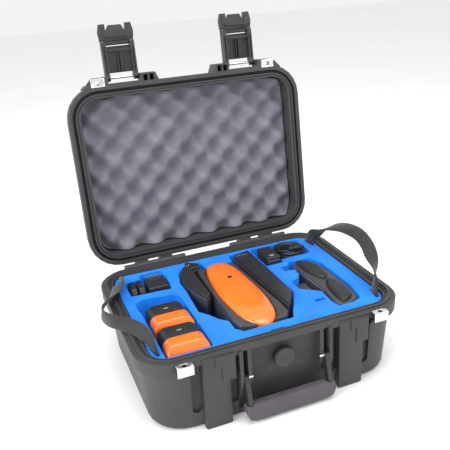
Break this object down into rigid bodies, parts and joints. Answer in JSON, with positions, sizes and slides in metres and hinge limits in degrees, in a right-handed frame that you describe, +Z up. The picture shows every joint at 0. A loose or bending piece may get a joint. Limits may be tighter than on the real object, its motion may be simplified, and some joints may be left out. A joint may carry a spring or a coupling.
{
  "type": "drone carrying case",
  "caption": "Hard plastic carrying case, open, with hinged lid, front latches, fold-down handle and a cut foam tray that holds a folded drone, its batteries, controller and charger.",
  "frame": {"origin": "centre of the base's flat underside", "axes": "+Z up out of the open base, +X along the hinge to the right seen from the handle side, +Y towards the hinge"},
  "size_m": [0.458, 0.456, 0.5366],
  "materials": {
    "shell_plastic": "textured black polypropylene",
    "latch_plastic": "satin black glass-filled nylon",
    "handle_rubber": "soft charcoal overmoulding",
    "seal_rubber": "smooth black elastomer",
    "stainless": "polished stainless steel",
    "egg_crate_foam": "grey open-cell foam",
    "blue_foam": "blue closed-cell foam, knife cut",
    "black_foam": "black closed-cell foam",
    "webbing": "black woven polypropylene webbing",
    "orange_gloss": "glossy orange plastic",
    "drone_plastic": "matt dark grey plastic",
    "dark_plastic": "matt black plastic",
    "grip_rubber": "matt black rubber",
    "cable_sheath": "black PVC cable"
  },
  "bodies": {
    "base": {"base_shell": "shell_plastic", "hinge_pin_left": "stainless", "hinge_pin_right": "stainless", "handle_pin_left": "stainless", "handle_pin_right": "stainless", "lock_plate_base_left": "stainless", "lock_plate_base_right": "stainless", "valve_stem": "latch_plastic", "valve_o_ring": "seal_rubber", "valve_cap": "shell_plastic", "base_foam_pad": "black_foam"},
    "lid": {"lid_shell": "shell_plastic", "lid_gasket": "seal_rubber", "lid_foam": "egg_crate_foam", "lock_plate_lid_left": "stainless", "lock_plate_lid_right": "stainless", "latch_pin_left": "stainless", "latch_pin_right": "stainless"},
    "latch_left": {"latch_body_left": "latch_plastic", "lever_pin_left": "stainless"},
    "latch_right": {"latch_body_right": "latch_plastic", "lever_pin_right": "stainless"},
    "lever_left": {"latch_lever_left": "latch_plastic"},
    "lever_right": {"latch_lever_right": "latch_plastic"},
    "handle": {"handle_core": "latch_plastic", "handle_grip": "handle_rubber"},
    "tray": {"tray_foam": "blue_foam", "lift_strap_left": "webbing", "lift_strap_right": "webbing"},
    "drone": {"drone_cover": "orange_gloss", "drone_body": "drone_plastic", "drone_arm_left": "drone_plastic", "drone_arm_right": "drone_plastic", "drone_propeller_left": "dark_plastic", "drone_propeller_right": "dark_plastic"},
    "battery_front": {"battery_cap_front": "orange_gloss", "battery_body_front": "dark_plastic"},
    "battery_rear": {"battery_cap_rear": "orange_gloss", "battery_body_rear": "dark_plastic"},
    "controller": {"controller_body": "drone_plastic", "controller_grip_rear": "grip_rubber", "controller_grip_front": "grip_rubber", "controller_bracket": "drone_plastic"},
    "charger": {"charger_brick": "dark_plastic", "charger_gland": "seal_rubber", "charger_lead": "cable_sheath", "charger_coil": "cable_sheath", "charger_lead_tail": "cable_sheath", "charger_plug": "grip_rubber"},
    "hub": {"charging_hub": "dark_plastic", "hub_contacts": "stainless"},
    "spare_propellers": {"spare_propeller_1": "dark_plastic", "spare_propeller_2": "dark_plastic"}
  },
  "joints": [
    {"name": "lid_hinge", "type": "hinge", "parent": "base", "child": "lid", "pos_m": [0, 0.1665, 0.1197], "axis": [-1, 0, 0], "range_deg": [-97.9, 0], "deforming": ["lift_strap_left", "lift_strap_right"]},
    {"name": "latch_left_swing", "type": "hinge", "parent": "lid", "child": "latch_left", "pos_m": [-0.11, 0.23866, 0.4484], "axis": [-1, 0, 0], "range_deg": [-90, 0]},
    {"name": "lever_left_pull", "type": "hinge", "parent": "latch_left", "child": "lever_left", "pos_m": [-0.11, 0.2498, 0.50541], "axis": [-1, 0, 0], "range_deg": [0, 35], "stiffness_Nm_per_rad": 0.06},
    {"name": "latch_right_swing", "type": "hinge", "parent": "lid", "child": "latch_right", "pos_m": [0.11, 0.23866, 0.4484], "axis": [-1, 0, 0], "range_deg": [-90, 0]},
    {"name": "lever_right_pull", "type": "hinge", "parent": "latch_right", "child": "lever_right", "pos_m": [0.11, 0.2498, 0.50541], "axis": [-1, 0, 0], "range_deg": [0, 35], "stiffness_Nm_per_rad": 0.06},
    {"name": "handle_swing", "type": "hinge", "parent": "base", "child": "handle", "pos_m": [0, -0.16, 0.071], "axis": [-1, 0, 0], "range_deg": [0, 100]},
    {"name": "tray_lift", "type": "slide", "parent": "base", "child": "tray", "axis": [0, 0, 1], "range_m": [0, 0.16]},
    {"name": "drone_lift", "type": "slide", "parent": "tray", "child": "drone", "axis": [0, 0, 1], "range_m": [0, 0.14]},
    {"name": "battery_front_lift", "type": "slide", "parent": "tray", "child": "battery_front", "axis": [0, 0, 1], "range_m": [0, 0.11]},
    {"name": "battery_rear_lift", "type": "slide", "parent": "tray", "child": "battery_rear", "axis": [0, 0, 1], "range_m": [0, 0.11]},
    {"name": "controller_lift", "type": "slide", "parent": "tray", "child": "controller", "axis": [0, 0, 1], "range_m": [0, 0.08]},
    {"name": "charger_lift", "type": "slide", "parent": "tray", "child": "charger", "axis": [0, 0, 1], "range_m": [0, 0.12]},
    {"name": "hub_lift", "type": "slide", "parent": "tray", "child": "hub", "axis": [0, 0, 1], "range_m": [0, 0.08]},
    {"name": "spare_propellers_lift", "type": "slide", "parent": "tray", "child": "spare_propellers", "axis": [0, 0, 1], "range_m": [0, 0.08]}
  ]
}
